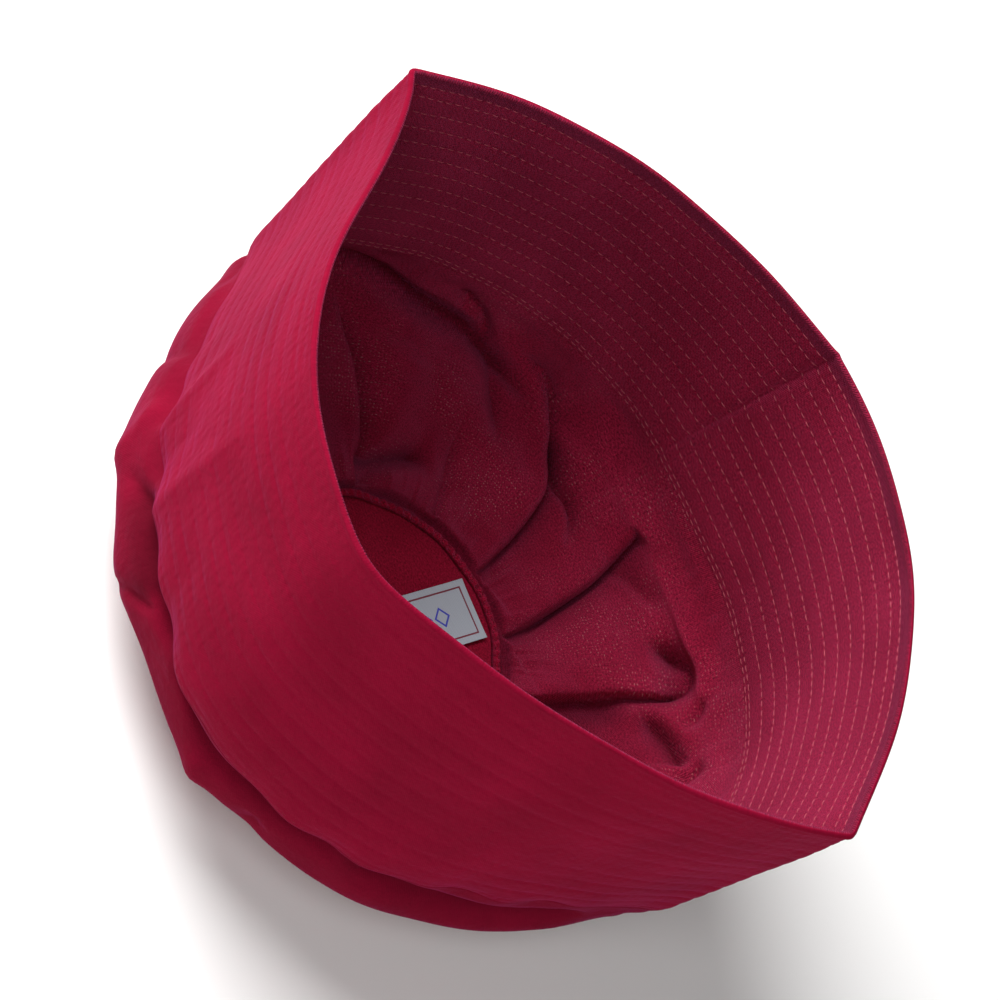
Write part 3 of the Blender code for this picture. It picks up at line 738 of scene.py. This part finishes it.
def clothTree(add, weaveSize):
    # Plain weave: sin(u) sin(v) stands each thread over and under its neighbours
    place = add("UVMap", uv_map="cloth")
    parts = add("SeparateXYZ", {0: place})
    waves = []
    for axis in (0, 1):
        across = {0: parts.outputs[axis], 1: 2 * math.pi / weaveSize}
        turn = add("Math", across, operation="MULTIPLY")
        waves.append(add("Math", {0: turn}, operation="SINE"))
    weave = add("Math", {0: waves[0], 1: waves[1]}, operation="MULTIPLY")
    return place, parts, weave


def cottonMaterial(name, values):
    # Dyed cotton poplin, plain woven from spun yarn: matt, a little fuzzy, with uneven yarns.
    # Real threads lie 0.35 mm apart; they are drawn at values["weave"] so that they show.
    material, tree, shader = newMaterial(name)
    add = partial(addNode, tree)
    place, parts, weave = clothTree(add, values["weave"])
    solid = add("TexCoord").outputs["Object"]
    cloud = add("TexNoise", {"Vector": solid, "Scale": 45.0, "Detail": 4.0, "Roughness": 0.55})
    yarn = add("Mapping", {"Vector": place, "Scale": (1500.0, 1900.0, 1.0)})
    slub = add("TexNoise", {"Vector": yarn, "Scale": 1.0, "Detail": 2.0})
    tone = add("MapRange", {"Value": cloud, "From Min": 0.3, "From Max": 0.7})
    dyes = {"Factor": tone, "A": values["dark"], "B": values["light"]}
    shown = add("Mix", dyes, data_type="RGBA")
    uneven = {0: slub, 1: values["grain"], 2: 1.0 - 0.5 * values["grain"]}
    grain = add("Math", uneven, operation="MULTIPLY_ADD")
    shown = add("VectorMath", {0: shown, "Scale": grain}, operation="SCALE")
    if values.get("fleck"):
        # Pale threads that float on the inner face: dashes 0.9 mm long round the cap, 1.3 mm
        # apart that way and 1.0 mm the other, sin of u times sin of v each cut to a share,
        # pulled askew by one noise and let through by two more
        stray = add("TexNoise", {"Vector": place, "Scale": 500.0, "Detail": 1.0}).outputs["Color"]
        shift = add("VectorMath", {0: stray, "Scale": 0.0012}, operation="SCALE")
        moved = add("VectorMath", {0: place, 1: shift}, operation="ADD")
        way = add("SeparateXYZ", {0: moved})
        each = add("TexNoise", {"Vector": place, "Scale": 800.0, "Detail": 1.0})
        patch = add("TexNoise", {"Vector": solid, "Scale": 48.0, "Detail": 3.0})
        shares = [(each, 0.49, 0.62), (patch, 0.44, 0.66)]
        for axis, pitch, low, high in ((0, 0.0013, -0.2, 0.5), (1, 0.0010, 0.3, 0.95)):
            across = {0: way.outputs[axis], 1: 2 * math.pi / pitch}
            angle = add("Math", across, operation="MULTIPLY")
            shares.append((add("Math", {0: angle}, operation="SINE"), low, high))
        inner = add("Attribute", attribute_name="innerFace").outputs["Fac"]
        amount = add("Math", {0: inner, 1: values["fleck"]}, operation="MULTIPLY")
        for source, low, high in shares:
            share = add("MapRange", {"Value": source, "From Min": low, "From Max": high})
            amount = add("Math", {0: amount, 1: share}, operation="MULTIPLY")
        shown = add("Mix", {"Factor": amount, "A": shown, "B": "#C07880"}, data_type="RGBA")
    if values.get("paintedShading"):
        # Painted shading: shade painted into folds and hollows, highlight painted on ridges, colour times 1 -
        # paintedShading * strength
        shadingMark = add("Attribute", attribute_name="paintedShading").outputs["Fac"]
        shade = add("Math", {0: shadingMark, 1: -values["paintedShading"], 2: 1.0}, operation="MULTIPLY_ADD")
        shown = add("VectorMath", {0: shown, "Scale": shade}, operation="SCALE")
    if values.get("edge"):
        # On the inner face, the strip between the rim and the first row is mixed towards a dark greyish red
        strip = add("Attribute", attribute_name="edgeStrip").outputs["Fac"]
        amount = add("Math", {0: strip, 1: values["edge"]}, operation="MULTIPLY")
        shown = add("Mix", {"Factor": amount, "A": shown, "B": "#4A1A2E"}, data_type="RGBA")
    relief = add("Math", {0: weave, 1: 0.5, 2: slub}, operation="MULTIPLY_ADD")
    bump = add("Bump", {"Height": relief, "Strength": values["bump"], "Distance": 0.0003})
    if values.get("mottle"):
        # Pressed cotton over quilting is never flat: soft lumps 2 to 4 mm wide
        lump = add("TexNoise", {"Vector": place, "Scale": 330.0, "Detail": 2.0})
        lumps = {"Height": lump, "Normal": bump, "Strength": values["mottle"], "Distance": 0.0010}
        bump = add("Bump", lumps)
    if values.get("pucker"):
        # Each stitch draws the cloth in: dimples at the stitch pitch beside every row
        rows = add("Attribute", attribute_name="nearRow").outputs["Fac"]
        pitches = 2 * math.pi / band["stitchPitch"]
        turn = add("Math", {0: parts.outputs[0], 1: pitches}, operation="MULTIPLY")
        dimple = add("Math", {0: turn}, operation="COSINE")
        loose = add("TexNoise", {"Vector": place, "Scale": 160.0, "Detail": 1.0})
        drawn = add("Math", {0: rows, 1: loose}, operation="MULTIPLY")
        deep = add("Math", {0: dimple, 1: drawn}, operation="MULTIPLY")
        dimples = {"Height": deep, "Normal": bump, "Strength": values["pucker"], "Distance": 0.0004}
        bump = add("Bump", dimples)
    setInputs(tree, shader, {
        "Base Color": shown, "Normal": bump, "Roughness": values["roughness"],
        "Specular IOR Level": values["gloss"], "Sheen Weight": values["sheen"], "Sheen Roughness": 0.30,
        "Sheen Tint": values["tint"]})
    return material


def threadMaterial(name, hexColour, sheen):
    # Spun polyester sewing thread: two plies twisted together, with a soft gloss
    material, tree, shader = newMaterial(name)
    add = partial(addNode, tree)
    solid = add("TexCoord").outputs["Object"]
    ply = add("TexNoise", {"Vector": solid, "Scale": 2200.0, "Detail": 1.0})
    plies = {"Value": ply, "From Min": 0.3, "From Max": 0.7, "To Min": 0.75, "To Max": 1.15}
    tone = add("MapRange", plies)
    shown = add("VectorMath", {0: linearColour(hexColour)[:3], "Scale": tone}, operation="SCALE")
    bump = add("Bump", {"Height": ply, "Strength": 0.4, "Distance": 0.0001})
    setInputs(tree, shader, {
        "Base Color": shown, "Normal": bump, "Roughness": 0.65, "Specular IOR Level": 0.2,
        "Sheen Weight": sheen})
    return material


def labelMaterial(name):
    # Woven polyester satin: smooth and grey with a fine rib, all of it one weave. A border line
    # lies where the larger of |x| and |y|, each less its half size, is near zero, and a row of
    # lozenge outlines where |x| / wide + |y in its place| / long is near 0.85. Distances are
    # read from the label's own map, in metres.
    material, tree, shader = newMaterial(name)
    add = partial(addNode, tree)
    place, parts, weave = clothTree(add, 0.0006)
    x, y = (add("Math", {0: parts.outputs[axis]}, operation="ABSOLUTE") for axis in (0, 1))
    overX, overY = (
        add("Math", {0: way, 1: 0.5 * label[size] - label["inset"]}, operation="SUBTRACT")
        for way, size in ((x, "width"), (y, "length")))
    outermost = add("Math", {0: overX, 1: overY}, operation="MAXIMUM")
    border = add("Math", {0: outermost, 1: 0.0, 2: label["line"]}, operation="COMPARE")
    inPlace = add("Math", {0: parts.outputs[1], 1: label["pitch"], 2: 0.0}, operation="WRAP")
    offMiddle = add("Math", {0: inPlace, 1: 0.5 * label["pitch"]}, operation="SUBTRACT")
    fromMiddle = add("Math", {0: offMiddle}, operation="ABSOLUTE")
    longShare = add("Math", {0: fromMiddle, 1: label["halfLong"]}, operation="DIVIDE")
    wideShare = add("Math", {0: x, 1: label["halfWide"]}, operation="DIVIDE")
    lozenge = add("Math", {0: longShare, 1: wideShare}, operation="ADD")
    ring = add("Math", {0: lozenge, 1: 0.85, 2: 0.13}, operation="COMPARE")
    kept = add("Math", {0: y, 1: label["placesEachWay"] * label["pitch"]}, operation="LESS_THAN")
    row = add("Math", {0: ring, 1: kept}, operation="MULTIPLY")
    shown = add("Mix", {"Factor": weave, "A": "#98A3AC", "B": "#B0BBC5"}, data_type="RGBA")
    for factor, yarn in ((border, "#6A0C26"), (row, "#2A35A8")):
        shown = add("Mix", {"Factor": factor, "A": shown, "B": yarn}, data_type="RGBA")
    bump = add("Bump", {"Height": weave, "Strength": 0.35, "Distance": 0.00015})
    setInputs(tree, shader, {"Base Color": shown, "Normal": bump, "Roughness": 0.5, "Sheen Weight": 0.2})
    return material


# Build

pieces = {
    "band_quilted": makeBand(),
    "band_stitches_inside": makeBandStitches(
        "band_stitches_inside", -1, band["threadWidth"], band["threadProud"]),
    "band_stitches_outside": makeBandStitches(
        "band_stitches_outside", 1, 0.8 * band["threadWidth"], -band["threadSunk"]),
    "crown_gathered": makeCrown(),
    "crown_top_disc": makeTop(),
    "top_seam_turned": makeTopSeam(),
    "top_seam_stitches": makeTopStitches(),
    "label_woven": makeLabel(),
}
print("pieces built:", {name: len(piece.data.polygons) for name, piece in pieces.items()})

clothLook = {"weave": 0.0007, "roughness": 0.85, "gloss": 0.05}
insideLook = {**clothLook, "dark": "#840A26", "light": "#981030", "grain": 2.6, "bump": 1.0,
              "sheen": 0.20, "tint": "#DC6096"}
outsideLook = {**clothLook, "dark": "#750523", "light": "#810628", "grain": 0.4, "bump": 0.20,
               "mottle": 0.45, "sheen": 0.15, "tint": "#C448B0"}
bandInside = cottonMaterial("band_cotton_poplin_reverse", {
    **insideLook, "dark": "#80112C", "light": "#931B3A", "sheen": 0.36, "pucker": 0.5, "edge": 0.45})
bandOutside = cottonMaterial("band_cotton_poplin_face", {**outsideLook, "pucker": 0.25})
crownInside = cottonMaterial("crown_cotton_poplin_reverse", {
    **insideLook, "dark": "#82142F", "light": "#951E3E", "fleck": 0.78, "paintedShading": 0.62, "sheen": 0.30})
# The crown's outer face is the same cloth as the band's, painted darker as painted shade
crownOutside = cottonMaterial("crown_cotton_poplin_face_painted_darker", {
    **outsideLook, "dark": "#6B0520", "light": "#770624", "paintedShading": 0.5})
topCotton = cottonMaterial("top_cotton_poplin", {
    **insideLook, "dark": "#740A22", "light": "#84122C", "grain": 2.2, "bump": 0.5, "sheen": 0.30})
# the turned seam carries painted shade where it meets the cloth
seamCotton = cottonMaterial("turned_seam_cotton_poplin", {**insideLook, "paintedShading": 0.6, "sheen": 0.30})
insideThread = threadMaterial("thread_rose_polyester", "#B24E5E", 0.03)
outsideThread = threadMaterial("thread_crimson_polyester", "#7A082A", 0.0)
labelSatin = labelMaterial("label_woven_satin")
# piece: its materials, its slot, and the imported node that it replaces
finishes = {
    "band_quilted": ([bandInside, bandOutside], "band_cotton", "band"),
    "band_stitches_inside": ([insideThread], "band_cotton", None),
    "band_stitches_outside": ([outsideThread], "band_cotton", None),
    "crown_gathered": ([crownInside, crownOutside], "crown_cotton", "crown_side"),
    "crown_top_disc": ([topCotton], "top_cotton", "crown_top"),
    "top_seam_turned": ([seamCotton], "seam_cotton", "top_seam"),
    "top_seam_stitches": ([outsideThread], "seam_cotton", None),
    "label_woven": ([labelSatin], "label_satin", "label"),
}
for name, (materials, slot, node) in finishes.items():
    piece = pieces[name]
    for material in materials:
        piece.data.materials.append(material)
    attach(piece, "root")
    if node:
        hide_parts(node)
print("pieces finished")


# Studio

studio = {
    "cameraPlace": (0.0519, -0.5226, 0.6429), "cameraTarget": (-0.0116, 0.0127, 0.0599),
    "cameraUp": (-0.86498, 0.31913, 0.38725), "lens": 109.84,
    "floor": "#F4F3F2", "floorHalf": 6, "world": 0.06,
    "lit": (0, 0, 0.06),      # the point that every light faces
    # light: direction it comes from, distance, size, power
    "lights": {"key_light": ((-0.85, -0.05, 0.80), 1.3, 1.0, 36.5),
               "fill_light": ((0.22, -0.80, 0.92), 1.6, 1.4, 13.0),
               "edge_light": ((0.97, -0.20, 0.06), 1.4, 0.4, 3.0)},
}

for lightName, (direction, distance, size, power) in studio["lights"].items():
    light = bpy.data.lights.new(lightName, "AREA")
    light.shape, light.size, light.energy = "DISK", size, power
    towards = Vector(direction).normalized()
    placed = sceneObject(lightName, light)
    placed.location = Vector(studio["lit"]) + towards * distance
    placed.rotation_euler = towards.to_track_quat("Z", "Y").to_euler()
world = bpy.data.worlds.new("studio_white")
bpy.context.scene.world = world
world.use_nodes = True
background = world.node_tree.nodes["Background"]
setInputs(world.node_tree, background, {"Color": (1, 1, 1, 1), "Strength": studio["world"]})

floorMesh = bpy.data.meshes.new("studio_floor")
half = studio["floorHalf"]
floorCorners = [(-half, -half, 0), (half, -half, 0), (half, half, 0), (-half, half, 0)]
floorMesh.from_pydata(floorCorners, [], [(0, 1, 2, 3)])
floor = sceneObject("studio_floor", floorMesh)
paper, paperTree, paperShader = newMaterial("studio_paper")
setInputs(paperTree, paperShader, {"Base Color": studio["floor"], "Roughness": 0.9})
floorMesh.materials.append(paper)

camera = sceneObject("camera", bpy.data.cameras.new("camera"))
camera.data.lens, camera.data.sensor_width = studio["lens"], 36.0
camera.data.clip_start, camera.data.clip_end = 0.05, 50.0
place, target = Vector(studio["cameraPlace"]), Vector(studio["cameraTarget"])
back = (place - target).normalized()
right = Vector(studio["cameraUp"]).cross(back).normalized()
up = back.cross(right)
camera.matrix_world = Matrix.Translation(place) @ Matrix((right, up, back)).transposed().to_4x4()
bpy.context.scene.camera = camera
bpy.context.scene.view_settings.view_transform = "Standard"

print("studio ready")
